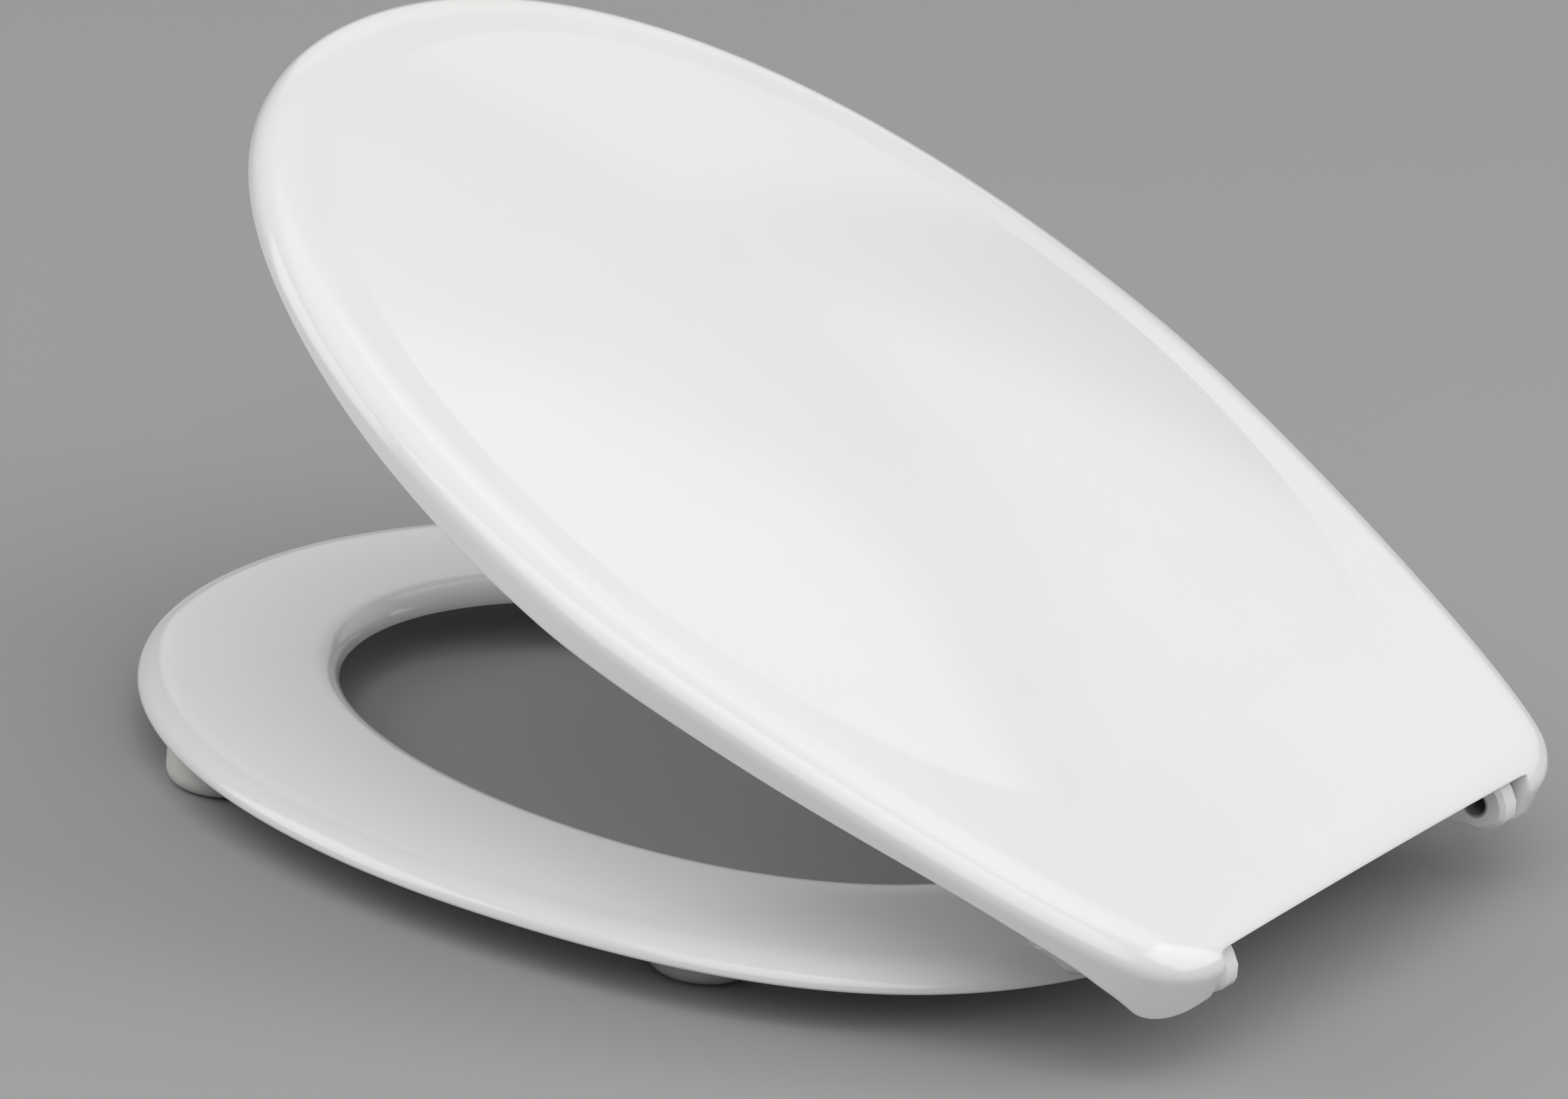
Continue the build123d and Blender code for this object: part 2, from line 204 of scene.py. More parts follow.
lug_inner = 86.3
lug_width = 10.0
lug_outer = lug_inner + lug_width
lug_centre = (0.4, 0.6)
lug_radius = 9.5
lug_back = ((9.8, -4.7), (10.6, -2.6), (10.5, 1.8))
lug_back_deg = (32, 300)
lug_steps = 60
lug_edge = 1.6
same_plane = 1e-7
bush_radius = 4.5
buffer_radius = 18.0
buffer_places = {"front": (119.0, -349.0), "rear": (137.5, -151.0)}
buffer_boss = 4.5
cylinder_facets = 72
arm_round = 2.0
arm_shortest = 5.0
# Place along the arm, its inner and outer side, its foot and its top
arm_stations = (
    (0.4, lug_inner, lug_outer, -8.0, 9.4),
    (-12.0, lug_inner, lug_outer, -9.8, 6.4),
    (-40.0, 80.0, 98.0, -14.2, -3.5),
    (-62.0, 76.0, 97.0, -17.0, -10.6),
)


def bevel_edges(piece, wanted, width, segments):
    """Rounds the edges that the test picks out."""
    pick(piece)
    bpy.ops.object.mode_set(mode="EDIT")
    bpy.ops.mesh.select_mode(type="EDGE")
    bpy.ops.mesh.select_all(action="DESELECT")
    bpy.ops.object.mode_set(mode="OBJECT")
    for edge in piece.data.edges:
        edge.select = wanted(*[piece.data.vertices[i].co for i in edge.vertices])
    bpy.ops.object.mode_set(mode="EDIT")
    bpy.ops.mesh.bevel(offset=width, segments=segments, affect="EDGES", profile=0.5)
    bpy.ops.object.mode_set(mode="OBJECT")


def cap_ends(piece):
    """Closes the open ends of a tube and turns all faces outwards."""
    pick(piece)
    bpy.ops.object.mode_set(mode="EDIT")
    bpy.ops.mesh.select_all(action="SELECT")
    bpy.ops.mesh.fill_holes(sides=0)
    bpy.ops.mesh.normals_make_consistent(inside=False)
    bpy.ops.object.mode_set(mode="OBJECT")


def extruded(name, outline, x, length):
    """Solid with the given outline across the hinge line, from one x on."""
    rows = [
        [Vector((place, hinge_y + y, hinge_z + z)) * MM for y, z in outline]
        for place in (x, x + length)
    ]
    piece = skin(name, rows, closed_columns=True)
    cap_ends(piece)
    return piece


def cylinder(name, radius, length, middle, turn=(0, 0, 0)):
    """Cylinder about its middle, upright unless it is turned."""
    bpy.ops.object.select_all(action="DESELECT")
    bpy.ops.mesh.primitive_cylinder_add(
        vertices=cylinder_facets, radius=radius * MM, depth=length * MM,
        location=Vector(middle) * MM, rotation=turn,
    )
    piece = bpy.context.object
    piece.name = name
    bpy.ops.object.transform_apply(location=True, rotation=True, scale=True)
    return piece


def pin(name, x, length, radius):
    """Cylinder on the hinge line."""
    return cylinder(name, radius, length, (x + length / 2, hinge_y, hinge_z), (0, pi / 2, 0))


barrel_outline = list(lug_back)
for step in range(lug_steps + 1):
    angle = radians(between(lug_back_deg, step / lug_steps))
    barrel_outline.append((
        lug_centre[0] + lug_radius * cos(angle),
        lug_centre[1] + lug_radius * sin(angle),
    ))
for sign in (1, -1):
    barrel = extruded("lug_barrel", barrel_outline, lug_inner, lug_width)
    bevel_edges(barrel, lambda a, b: abs(a.x - b.x) < same_plane, lug_edge * MM, segments=1)
    arm_rows = [
        [
            Vector((x, hinge_y + y, hinge_z + z)) * MM
            for x, z in ((inner, foot), (outer, foot), (outer, top), (inner, top))
        ]
        for y, inner, outer, foot, top in arm_stations
    ]
    arm = skin("lug_arm", arm_rows, closed_columns=True)
    cap_ends(arm)
    bevel_edges(arm, lambda a, b: abs(a.y - b.y) > arm_shortest * MM, arm_round * MM, segments=3)
    combine(barrel, arm, "UNION")
    if sign < 0:
        barrel.data.transform(Matrix.Scale(-1, 4, (1, 0, 0)))
        barrel.data.flip_normals()
    combine(seat_ring, barrel, "UNION")
for x, y in buffer_places.values():
    for sign in (1, -1):
        middle = (sign * x, hinge_y + y, ring_foot + buffer_boss / 2)
        combine(seat_ring, cylinder("buffer_boss", buffer_radius, buffer_boss, middle), "UNION")
bore = pin("lug_bore", -lug_inner - 2 * lug_width, 2 * lug_inner + 4 * lug_width, bush_radius)
combine(seat_ring, bore, "DIFFERENCE")
smooth(seat_ring, degrees=40)


def from_hex(code):
    """Linear colour of an sRGB hex value."""
    channels = [int(code[i:i + 2], 16) / 255 for i in (1, 3, 5)]
    return [c / 12.92 if c <= 0.04045 else ((c + 0.055) / 1.055) ** 2.4 for c in channels] + [1.0]


def add_node(tree, kind, inputs, **settings):
    """Adds a node with its settings; an input is given a value or another node's output."""
    node = tree.nodes.new(kind)
    for name, value in settings.items():
        setattr(node, name, value)
    for socket, value in inputs.items():
        if isinstance(value, bpy.types.NodeSocket):
            tree.links.new(value, node.inputs[socket])
        else:
            node.inputs[socket].default_value = value
    return node


# A mix node's colour sockets go by number: its two inputs and its output.
mix_from, mix_to, mix_out = 6, 7, 2


def per_mm(size):
    """Scale of a texture whose features are that many millimetres across."""
    return 1000 / size


# Urea thermoset is moulded against polished steel: hard gloss, a faint flow mottle under the skin
# and the slight ripple that the polished tool leaves on it.
gloss_thermoset = bpy.data.materials.new("urea_thermoset_gloss")
gloss_thermoset.use_nodes = True
tree = gloss_thermoset.node_tree
tree.nodes.clear()
place = add_node(tree, "ShaderNodeTexCoord", {}).outputs["Object"]
mottle = add_node(tree, "ShaderNodeTexNoise", {"Vector": place, "Scale": per_mm(70), "Detail": 3.0})
tint = add_node(tree, "ShaderNodeMix", {"Factor": mottle.outputs["Fac"]}, data_type="RGBA")
tint.inputs[mix_from].default_value = from_hex("#EEEEEC")
tint.inputs[mix_to].default_value = from_hex("#F2F2F1")
polish = add_node(tree, "ShaderNodeTexNoise", {"Vector": place, "Scale": per_mm(25), "Detail": 2.0})
sheen = add_node(
    tree, "ShaderNodeMapRange",
    {"Value": polish.outputs["Fac"], "To Min": 0.13, "To Max": 0.16},
)
ripple = add_node(tree, "ShaderNodeTexNoise", {"Vector": place, "Scale": per_mm(9), "Detail": 1.0})
ripple_bump = add_node(
    tree, "ShaderNodeBump",
    {"Strength": 0.04, "Distance": 0.0005, "Height": ripple.outputs["Fac"]},
)
shader = add_node(
    tree, "ShaderNodeBsdfPrincipled",
    {
        "Base Color": tint.outputs[mix_out],
        "Roughness": sheen.outputs["Result"],
        "Normal": ripple_bump.outputs["Normal"],
        "IOR": 1.56,
    },
)
add_node(tree, "ShaderNodeOutputMaterial", {"Surface": shader.outputs["BSDF"]})
seat_ring.data.materials.clear()
seat_ring.data.materials.append(gloss_thermoset)
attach(seat_ring, "seat")
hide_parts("seat_ring")

# Hinge bushes
# Moulded sleeves pushed through the lugs, with a flange between lug and ear: the lid turns on
# them, and their bore takes the hinge pins. Satin grey-white plastic with a fine moulded grain.
satin_plastic = bpy.data.materials.new("acetal_satin")
satin_plastic.use_nodes = True
tree = satin_plastic.node_tree
tree.nodes.clear()
place = add_node(tree, "ShaderNodeTexCoord", {}).outputs["Object"]
flow = add_node(tree, "ShaderNodeTexNoise", {"Vector": place, "Scale": per_mm(12), "Detail": 3.0})
tint = add_node(tree, "ShaderNodeMix", {"Factor": flow.outputs["Fac"]}, data_type="RGBA")
tint.inputs[mix_from].default_value = from_hex("#9C9C9A")
tint.inputs[mix_to].default_value = from_hex("#A8A8A5")
grain = add_node(tree, "ShaderNodeTexNoise", {"Vector": place, "Scale": per_mm(0.8), "Detail": 2.0})
sheen = add_node(
    tree, "ShaderNodeMapRange",
    {"Value": grain.outputs["Fac"], "To Min": 0.38, "To Max": 0.5},
)
grain_bump = add_node(
    tree, "ShaderNodeBump",
    {"Strength": 0.1, "Distance": 0.0001, "Height": grain.outputs["Fac"]},
)
shader = add_node(
    tree, "ShaderNodeBsdfPrincipled",
    {
        "Base Color": tint.outputs[mix_out],
        "Roughness": sheen.outputs["Result"],
        "Normal": grain_bump.outputs["Normal"],
        "IOR": 1.48,
    },
)
add_node(tree, "ShaderNodeOutputMaterial", {"Surface": shader.outputs["BSDF"]})
for side in ("left", "right"):
    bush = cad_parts[f"hinge_bush_{side}"]
    bush.data.materials.clear()
    bush.data.materials.append(satin_plastic)

# Seat buffers
# Round feet of soft white elastomer, each pressed into the ring's underside by a peg, that keep
# the ring off the bowl. Their lower edge is well rounded.
buffer_foot = 13.0
buffer_round = 5.6
buffer_waist = 10.0
buffer_ease = 0.6
sole_flat = 3.0
sole_ease = 0.8
sole_rise = (0.15, 0.4)
buffer_steps = 8
buffer_facets = 72
soft_elastomer = bpy.data.materials.new("elastomer_satin")
soft_elastomer.use_nodes = True
tree = soft_elastomer.node_tree
tree.nodes.clear()
place = add_node(tree, "ShaderNodeTexCoord", {}).outputs["Object"]
bloom = add_node(tree, "ShaderNodeTexNoise", {"Vector": place, "Scale": per_mm(9), "Detail": 4.0})
tint = add_node(tree, "ShaderNodeMix", {"Factor": bloom.outputs["Fac"]}, data_type="RGBA")
tint.inputs[mix_from].default_value = from_hex("#D6D6D2")
tint.inputs[mix_to].default_value = from_hex("#E0E0DD")
grain = add_node(tree, "ShaderNodeTexNoise", {"Vector": place, "Scale": per_mm(0.6), "Detail": 2.0})
sheen = add_node(
    tree, "ShaderNodeMapRange",
    {"Value": bloom.outputs["Fac"], "To Min": 0.5, "To Max": 0.65},
)
grain_bump = add_node(
    tree, "ShaderNodeBump",
    {"Strength": 0.15, "Distance": 0.0001, "Height": grain.outputs["Fac"]},
)
shader = add_node(
    tree, "ShaderNodeBsdfPrincipled",
    {
        "Base Color": tint.outputs[mix_out],
        "Roughness": sheen.outputs["Result"],
        "Normal": grain_bump.outputs["Normal"],
        "IOR": 1.5,
    },
)
add_node(tree, "ShaderNodeOutputMaterial", {"Surface": shader.outputs["BSDF"]})
buffer_profile = [(0, 0), (buffer_foot - sole_flat, 0), (buffer_foot - sole_ease, sole_rise[0])]
for step in range(buffer_steps + 1):
    angle = radians(90 * step / buffer_steps)
    buffer_profile.append((
        buffer_foot + (buffer_radius - buffer_foot) * sin(angle),
        sole_rise[1] + buffer_round * (1 - cos(angle)),
    ))
buffer_profile += [
    (buffer_radius, buffer_waist),
    (buffer_radius, ring_foot - buffer_ease),
    (buffer_radius - buffer_ease, ring_foot),
    (0, ring_foot),
]
for end, (x, y) in buffer_places.items():
    for side, sign in (("left", 1), ("right", -1)):
        middle = Vector((sign * x, hinge_y + y, 0)) * MM
        profile = [middle + Vector((r, 0, z)) * MM for r, z in buffer_profile]
        links = [(i, i + 1) for i in range(len(profile) - 1)]
        foot = new_piece(f"seat_buffer_foot_{end}_{side}", profile, links, [])
        pick(foot)
        bpy.ops.object.mode_set(mode="EDIT")
        bpy.ops.mesh.select_all(action="SELECT")
        bpy.ops.mesh.spin(steps=buffer_facets, angle=2 * pi, center=middle, axis=(0, 0, 1))
        bpy.ops.object.mode_set(mode="OBJECT")
        close_up(foot)
        smooth(foot, degrees=50)
        foot.data.materials.append(soft_elastomer)
        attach(foot, "seat")
        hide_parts(f"seat_buffer_{end}_{side}")

# Lid
# A shell of the same white thermoset, moulded in one piece: crowned on top inside a narrow border,
# with a full round rim. Its skirt drops into an ear at each rear corner, and the ears turn on the
# hinge bushes.
lid_tilt = radians(24.6)
lid_half = 186.0
lid_front = -438.1
lid_widest = -207.7
lid_rear = 10.0
nose_fullness = 0.595
lid_side_pull = 56.5
lid_corner_pull = 27.0
corner_radius = 42.0
corner_centre = Vector((100.9, lid_rear - corner_radius))
corner_start = radians(48.5)
lid_top = 17.2
lid_camber = 4.8
rim_width = 15.0
rim_depth = 8.5
wall_draft = radians(3)
lid_wall = 5.4
rear_edge = 2.6
rear_fade = 25.0
ear_inner = 99.3
ear_block = -15.0
ear_corner = 1.6
corner_overrun = 2.0
ear_blend = 4
panel_border = 25.0
panel_rear = -62.0
panel_straight = 80.0
panel_side_pull = 45.0
panel_rear_pull = 51.0
crown = 8.0
crown_power = 2.5
crown_hollow = 0.88
skirt_points = (
    (-460.0, 6.9), (-438.0, 6.4), (-350.0, 3.9), (-280.0, 0.1), (-207.7, -2.2), (-130.0, -0.4),
    (-62.0, 2.3), (-35.0, 1.6), (-19.3, 0.2), (-10.7, -1.9), (-5.3, -3.4), (-1.44, -5.3),
)
lobe_centre = (3.3, -0.7)
lobe_radius = 6.6
lobe_end = 0.999 * lobe_radius
nose_steps = 36
flank_steps = 44
corner_steps = 14
rear_steps = 16
fine_steps = 200
straight_steps = 100
block_steps = 5
edge_steps = 6
panel_shares = (0, 0.12, 0.25, 0.4, 0.55, 0.7, 0.82, 0.91, 0.96, 0.985, 0.995)
border_shares = (0, 0.04, 0.15, 0.4, 0.7, 0.92)
round_shares = (0, 0.2, 0.4, 0.6, 0.8, 1)
wall_shares = (0.3, 0.65, 0.92, 1)
strip_shares = (0, 0.2, 0.5, 0.8, 1)
roof_shares = (1, 0.992, 0.97, 0.93, 0.9, 0.88, 0.86, 0.82, 0.74, 0.62, 0.48, 0.3, 0.14, 0)


def lid_height(x):
    """Height of the lid's cambered top above the hinge line."""
    return lid_top - lid_camber * (x / lid_half) ** 2


def skirt(y):
    """Height of the skirt's lower edge: a smooth line to the ear, then round its lobe."""
    last = skirt_points[-1][0]
    if y > last:
        reach = min(y - lobe_centre[0], lobe_end)
        return lobe_centre[1] - (lobe_radius ** 2 - reach ** 2) ** 0.5
    index = max(i for i, p in enumerate(skirt_points[:-1]) if p[0] <= y)
    slopes = []
    for i in (index, index + 1):
        before = skirt_points[max(i - 1, 0)]
        after = skirt_points[min(i + 1, len(skirt_points) - 1)]
        slopes.append((after[1] - before[1]) / (after[0] - before[0]))
    (y0, z0), (y1, z1) = skirt_points[index], skirt_points[index + 1]
    t = (y - y0) / (y1 - y0)
    return (
        z0 * (1 + 2 * t) * (1 - t) ** 2 + slopes[0] * (y1 - y0) * t * (1 - t) ** 2
        + z1 * t * t * (3 - 2 * t) + slopes[1] * (y1 - y0) * t * t * (t - 1)
    )


def roof(x, y, rise=0.0):
    """Height of the lid's underside, which thins towards the rear edge."""
    ease = min(max((ear_block - y) / rear_fade, 0), 1)
    return lid_height(x) + rise - between((rear_edge, lid_wall), ease * ease * (3 - 2 * ease))


def on_lid(x, y, z):
    """Point of the lid as it stands open, from its place on the lid."""
    return Vector((
        x,
        hinge_y + y * cos(lid_tilt) + z * sin(lid_tilt),
        hinge_z - y * sin(lid_tilt) + z * cos(lid_tilt),
    )) * MM


# The section changes all the way round, so the shell is laid up in rows along the outline, then
# subdivided once so that every edge comes out slightly round.
corner_from = corner_centre + corner_radius * Vector((cos(corner_start), sin(corner_start)))
corner_way = Vector((-sin(corner_start), cos(corner_start)))
ear_angle = acos((ear_inner + ear_corner - corner_centre.x) / corner_radius)
outline = bezier(
    (
        (0, lid_front),
        (nose_fullness * lid_half, lid_front),
        (lid_half, lid_widest + nose_fullness * (lid_front - lid_widest)),
        (lid_half, lid_widest),
    ),
    nose_steps,
)
outline += bezier(
    (
        (lid_half, lid_widest),
        (lid_half, lid_widest + lid_side_pull),
        corner_from - corner_way * lid_corner_pull,
        corner_from,
    ),
    flank_steps,
)
for step in range(corner_steps + 1):
    angle = between((corner_start, ear_angle), step / corner_steps)
    outline.append(corner_centre + corner_radius * Vector((cos(angle), sin(angle))))
ear_last = len(outline) - 1
ear_first = min(i for i in range(nose_steps, ear_last) if outline[i].y >= ear_block)
corner_y = outline[ear_last].y - ear_corner
corner_first = min(i for i in range(ear_first, ear_last) if outline[i].y > corner_y)
corner_count = ear_last - corner_first
for step in range(1, corner_count + 1):
    x = between((ear_inner + ear_corner, ear_inner - corner_overrun), step / corner_count)
    reach = max(x - corner_centre.x, 0)
    outline.append(Vector((x, corner_centre.y + (corner_radius ** 2 - reach ** 2) ** 0.5)))
rear_start = outline[-1].x
for step in range(1, rear_steps + 1):
    outline.append(Vector((rear_start * (1 - step / rear_steps), lid_rear)))


def outward(i):
    """Direction straight out from the outline."""
    if i == 0:
        return Vector((0, -1))
    if i == len(outline) - 1:
        return Vector((0, 1))
    along = (outline[i + 1] - outline[i - 1]).normalized()
    return Vector((along.y, -along.x))


normals = [outward(i) for i in range(len(outline))]


def rim_point(i, inset, depth):
    """Point on the rim's round or wall below it, in a column of the outline."""
    p = outline[i] - normals[i] * inset
    return Vector((p.x, p.y, lid_height(p.x) - depth))


def rim_row(turn):
    """Inset and depth of the rim's round after it has turned down by an angle."""
    return rim_width * (1 - sin(turn)), rim_depth * (1 - cos(turn))


edge_turn = acos(1 - rear_edge / rim_depth)


def wall_rows(i, low):
    """Points down a column's wall, from the rear edge's depth to the skirt's lower edge."""
    fall = lid_height(outline[i].x) - low
    points = []
    for share in round_shares:
        points.append(rim_point(i, *rim_row(between((edge_turn, pi / 2), share))))
    for share in wall_shares:
        drop = share * (fall - rim_depth)
        points.append(rim_point(i, -drop * tan(wall_draft), rim_depth + drop))
        points[-1].z = lid_height(outline[i].x) - rim_depth - drop
    return points


panel_half = lid_half - panel_border
panel_nose = lid_front + panel_border
panel = bezier(
    (
        (0, panel_nose),
        (nose_fullness * panel_half, panel_nose),
        (panel_half, lid_widest + nose_fullness * (panel_nose - lid_widest)),
        (panel_half, lid_widest),
    ),
    nose_steps,
)
flank = bezier(
    (
        (panel_half, lid_widest),
        (panel_half, lid_widest + panel_side_pull),
        (panel_straight + panel_rear_pull, panel_rear),
        (panel_straight, panel_rear),
    ),
    fine_steps,
)
for step in range(straight_steps + 1):
    flank.append(Vector((panel_straight * (1 - step / straight_steps), panel_rear)))


def along_line(points):
    """Distance of each point along a line of points, as a share of the whole."""
    marks = [0.0]
    for a, b in zip(points, points[1:]):
        marks.append(marks[-1] + (b - a).length)
    return [m / marks[-1] for m in marks]


flank_marks = along_line(flank)
for mark in along_line(outline[nose_steps:]):
    index = max(i for i, m in enumerate(flank_marks[:-1]) if m <= mark)
    share = (mark - flank_marks[index]) / (flank_marks[index + 1] - flank_marks[index])
    panel.append(flank[index].lerp(flank[index + 1], min(share, 1)))
panel_middle = Vector((0, (panel_nose + panel_rear) / 2))

# Top, from the middle of the crowned panel out over the border and the rim's round
top_rows = []
for share in panel_shares:
    row = []
    for p in panel:
        q = panel_middle.lerp(p, share)
        row.append(Vector((q.x, q.y, lid_height(q.x) + crown * (1 - share ** crown_power))))
    top_rows.append(row)
for share in border_shares:
    row = []
    for i, p in enumerate(panel):
        q = p.lerp(outline[i] - normals[i] * rim_width, share)
        row.append(Vector((q.x, q.y, lid_height(q.x))))
    top_rows.append(row)
for step in range(edge_steps + 1):
    turn = edge_turn * step / edge_steps
    top_rows.append([rim_point(i, *rim_row(turn)) for i in range(len(outline))])

# Wall below it, round the front and sides to the ears
low = [skirt(outline[i].y) for i in range(ear_last + 1)]
wall_columns = [wall_rows(i, low[i]) for i in range(ear_last + 1)]
wall_grid = [list(row) for row in zip(*wall_columns)]
lower_edge = [column[-1] for column in wall_columns]

# Underside of the skirt and of the ears
first = lower_edge[ear_first]
thick = lid_wall / normals[ear_first].x
inner_start = Vector((first.x - thick, first.y, first.z))
skirt_columns = []
skirt_inner = []
for i in range(ear_first + 1):
    outer = lower_edge[i]
    if i < ear_first:
        inner = outer - (normals[i] * lid_wall).to_3d()
    else:
        inner = inner_start
    skirt_inner.append(inner)
    skirt_columns.append([outer.lerp(inner, share) for share in strip_shares])
skirt_grid = [list(row) for row in zip(*skirt_columns)]
last = lower_edge[ear_last]
ear_inside = []
for i in range(ear_first, ear_last + 1):
    p = lower_edge[i]
    back = p.y - (last.y - ear_corner)
    x = ear_inner
    if back > 0:
        x = last.x - (last.x - ear_inner) * (1 - min(back / ear_corner, 1) ** 2) ** 0.5
    ear_inside.append(Vector((min(x, p.x), p.y, p.z)))
reach = first.x - ear_inside[0].x
block_shares = [between((thick / reach, 1), step / block_steps) for step in range(1, block_steps + 1)]
row_shares = [share * thick / reach for share in strip_shares] + block_shares
ear_bottom = [
    [lower_edge[i].lerp(ear_inside[i - ear_first], share) for share in row_shares]
    for i in range(ear_first, ear_last + 1)
]

# Inner walls: round the skirt, across the front of each ear, and along the ear's inner face
rises = [(p.z - last.z) / (wall_columns[ear_last][0].z - last.z) for p in wall_columns[ear_last]]


def wall_up(p, rise):
    """Point above one on the lower edge, a share of the way to the lid's underside."""
    return Vector((p.x, p.y, between((p.z, roof(p.x, p.y)), rise)))


skirt_inside = [[wall_up(p, rise) for p in skirt_inner] for rise in rises]
block_line = [first.lerp(ear_inside[0], share) for share in [thick / reach] + block_shares]
block_face = [[wall_up(p, rise) for p in block_line] for rise in rises]
ear_face = []
for j, rise in enumerate(rises):
    edge = wall_columns[ear_last][j]
    row = []
    for p in ear_inside:
        share = min(max((p.y - ear_inside[0].y) / (last.y - ear_inside[0].y), 0), 1)
        y = ear_inside[0].y + share * (edge.y - ear_inside[0].y)
        x = p.x + share ** ear_blend * (edge.x - last.x)
        top = between((roof(p.x, y), wall_columns[ear_last][0].z), share ** ear_blend)
        row.append(Vector((x, y, between((p.z, top), rise))))
    row[-1] = edge
    ear_face.append(row)

# Underside of the rear edge beside each ear's rounded corner, and the roof inside
edge_row = top_rows[-1]
shelf = [
    [ear_face[0][corner_first - ear_first + k] for k in range(corner_count, -1, -1)],
    [edge_row[ear_last + k] for k in range(corner_count + 1)],
]
roof_line = skirt_inside[0] + block_face[0][1:]
roof_line += ear_face[0][1:corner_first - ear_first + 1]
roof_line += edge_row[ear_last + corner_count:]
roof_rows = []
for share in roof_shares:
    row = []
    for p in roof_line:
        q = panel_middle.lerp(p.to_2d(), share)
        rise = crown * max(0, 1 - (share / crown_hollow) ** 2)
        row.append(Vector((q.x, q.y, roof(q.x, q.y, rise))))
    roof_rows.append(row)
roof_rows[0] = roof_line

patches = [
    top_rows, wall_grid, skirt_grid, ear_bottom, skirt_inside, block_face, ear_face, shelf, roof_rows,
]
lid = None
for sign in (1, -1):
    for patch in patches:
        part = skin("lid_patch", [[on_lid(sign * p.x, p.y, p.z) for p in row] for row in patch])
        if lid is None:
            lid = part
        else:
            pick(lid)
            part.select_set(True)
            bpy.ops.object.join()
lid.name = "lid_moulding"
lid.data.name = "lid_moulding"
close_up(lid, gap=2e-6)
pick(lid)
soften = lid.modifiers.new("soften", "SUBSURF")
soften.levels = 1
soften.render_levels = 1
bpy.ops.object.modifier_apply(modifier=soften.name)

pad_place = (95.0, -378.1)
pad_boss = (20.0, 12.0, 8.0)
boss_foot = 7.55
for sign in (1, -1):
    bpy.ops.object.select_all(action="DESELECT")
    bpy.ops.mesh.primitive_cube_add(size=1)
    boss = bpy.context.object
    boss.data.transform(Matrix.Diagonal((*pad_boss, 1.0)))
    boss_middle = (sign * pad_place[0], pad_place[1], boss_foot + pad_boss[2] / 2)
    boss.data.transform(Matrix.Translation(boss_middle))
    for corner in boss.data.vertices:
        corner.co = on_lid(*corner.co)
    combine(lid, boss, "UNION")
ear_bore = 8.8
bore_overrun = 2.0
running_clearance = 0.05
for start in (ear_inner - bore_overrun, -ear_inner - ear_bore):
    bore = pin("ear_bore", start, ear_bore + bore_overrun, bush_radius + running_clearance)
    combine(lid, bore, "DIFFERENCE")
smooth(lid, degrees=40)
lid.data.materials.clear()
lid.data.materials.append(gloss_thermoset)
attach(lid, "lid")
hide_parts("lid")

# Lid buffers
# Oblong pads of the same elastomer, pressed into the bosses under the lid. The lid shuts on them,
# and they keep it off the ring.
for side in ("left", "right"):
    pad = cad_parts[f"lid_buffer_{side}"]
    pad.data.materials.clear()
    pad.data.materials.append(soft_elastomer)

# Studio
# Plain grey paper under the seat, in soft light from all round: the main soft box is above the
# camera, one hangs overhead, one stands on each side, and weaker ones light the far side.
floor_size = 30
bpy.ops.object.select_all(action="DESELECT")
bpy.ops.mesh.primitive_plane_add(size=floor_size)
floor = bpy.context.object
floor.name = "studio_floor"
sweep = bpy.data.materials.new("studio_paper")
sweep.use_nodes = True
paper = sweep.node_tree.nodes["Principled BSDF"]
paper.inputs["Base Color"].default_value = from_hex("#A3A3A3")
paper.inputs["Roughness"].default_value = 0.9
paper.inputs["Specular IOR Level"].default_value = 0.1
floor.data.materials.append(sweep)

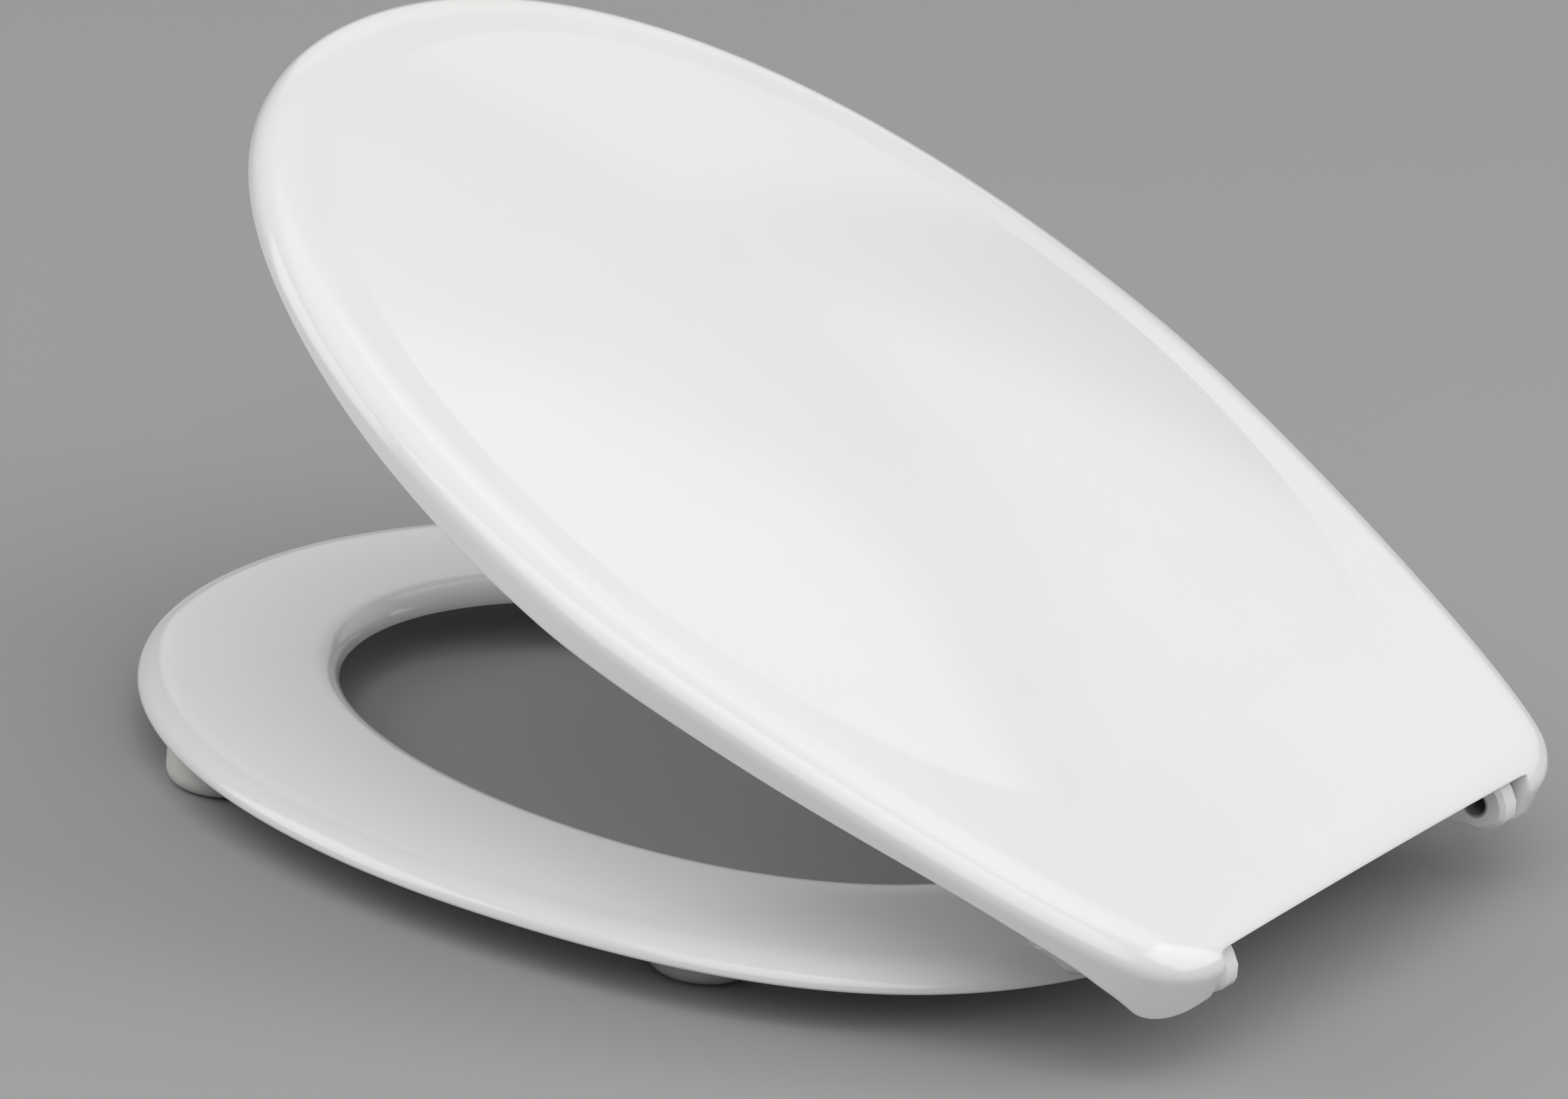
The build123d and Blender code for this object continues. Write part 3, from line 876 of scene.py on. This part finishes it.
world = bpy.data.worlds.new("studio_air")
world.use_nodes = True
world.node_tree.nodes["Background"].inputs["Color"].default_value = (1, 1, 1, 1)
world.node_tree.nodes["Background"].inputs["Strength"].default_value = 0.12
bpy.context.scene.world = world
view_side = radians(30.78)
seat_middle = Vector((0, 0, 0.08))
lamp_distance = 4.3


def soft_box(name, side_deg, height_deg, width, height, watts):
    """Adds a rectangular lamp, placed by its angle from the camera's side and above the floor."""
    side = view_side + radians(side_deg)
    rise = radians(height_deg)
    towards = Vector((cos(side) * cos(rise), sin(side) * cos(rise), sin(rise)))
    lamp = bpy.data.lights.new(name, "AREA")
    lamp.shape = "RECTANGLE"
    lamp.size = width
    lamp.size_y = height
    lamp.energy = watts
    box = bpy.data.objects.new(name, lamp)
    bpy.context.collection.objects.link(box)
    box.location = seat_middle + towards * lamp_distance
    box.rotation_euler = towards.to_track_quat("Z", "Y").to_euler()


soft_box("main_box", 0, 50, 5.0, 4.0, 106)
soft_box("overhead_box", 0, 90, 4.5, 4.5, 36)
soft_box("right_box", 90, 30, 3.0, 3.0, 60)
soft_box("left_box", 270, 30, 3.0, 3.0, 56)
soft_box("key_box", 122, 58, 3.2, 2.0, 17)
soft_box("far_right_box", 135, 22, 2.7, 2.15, 10)
soft_box("far_box", 180, 22, 2.7, 2.15, 10)

# Camera
# A long lens from behind the hinge, above and to one side, tipped a little to its right. Its place
# and its shift are fitted to the outlines in the photograph.
view_height = radians(20.23)
view_tip = radians(5.16)
view_target = Vector((0, -0.02145, 0.0853))
view_distance = 2.9533
away = Vector((
    cos(view_height) * cos(view_side),
    cos(view_height) * sin(view_side),
    sin(view_height),
))
level = Vector((-sin(view_side), cos(view_side), 0))
right = level * cos(view_tip) + away.cross(level) * sin(view_tip)
lens = bpy.data.cameras.new("studio_camera")
lens.sensor_width = 36
lens.lens = 208.3
lens.shift_x = 0.02605
lens.shift_y = -0.00789
lens.clip_end = 50
camera = bpy.data.objects.new("studio_camera", lens)
bpy.context.collection.objects.link(camera)
turn = Matrix((right, away.cross(right), away)).transposed().to_4x4()
camera.matrix_world = Matrix.Translation(view_target + away * view_distance) @ turn
bpy.context.scene.camera = camera
bpy.context.scene.view_settings.view_transform = "Standard"
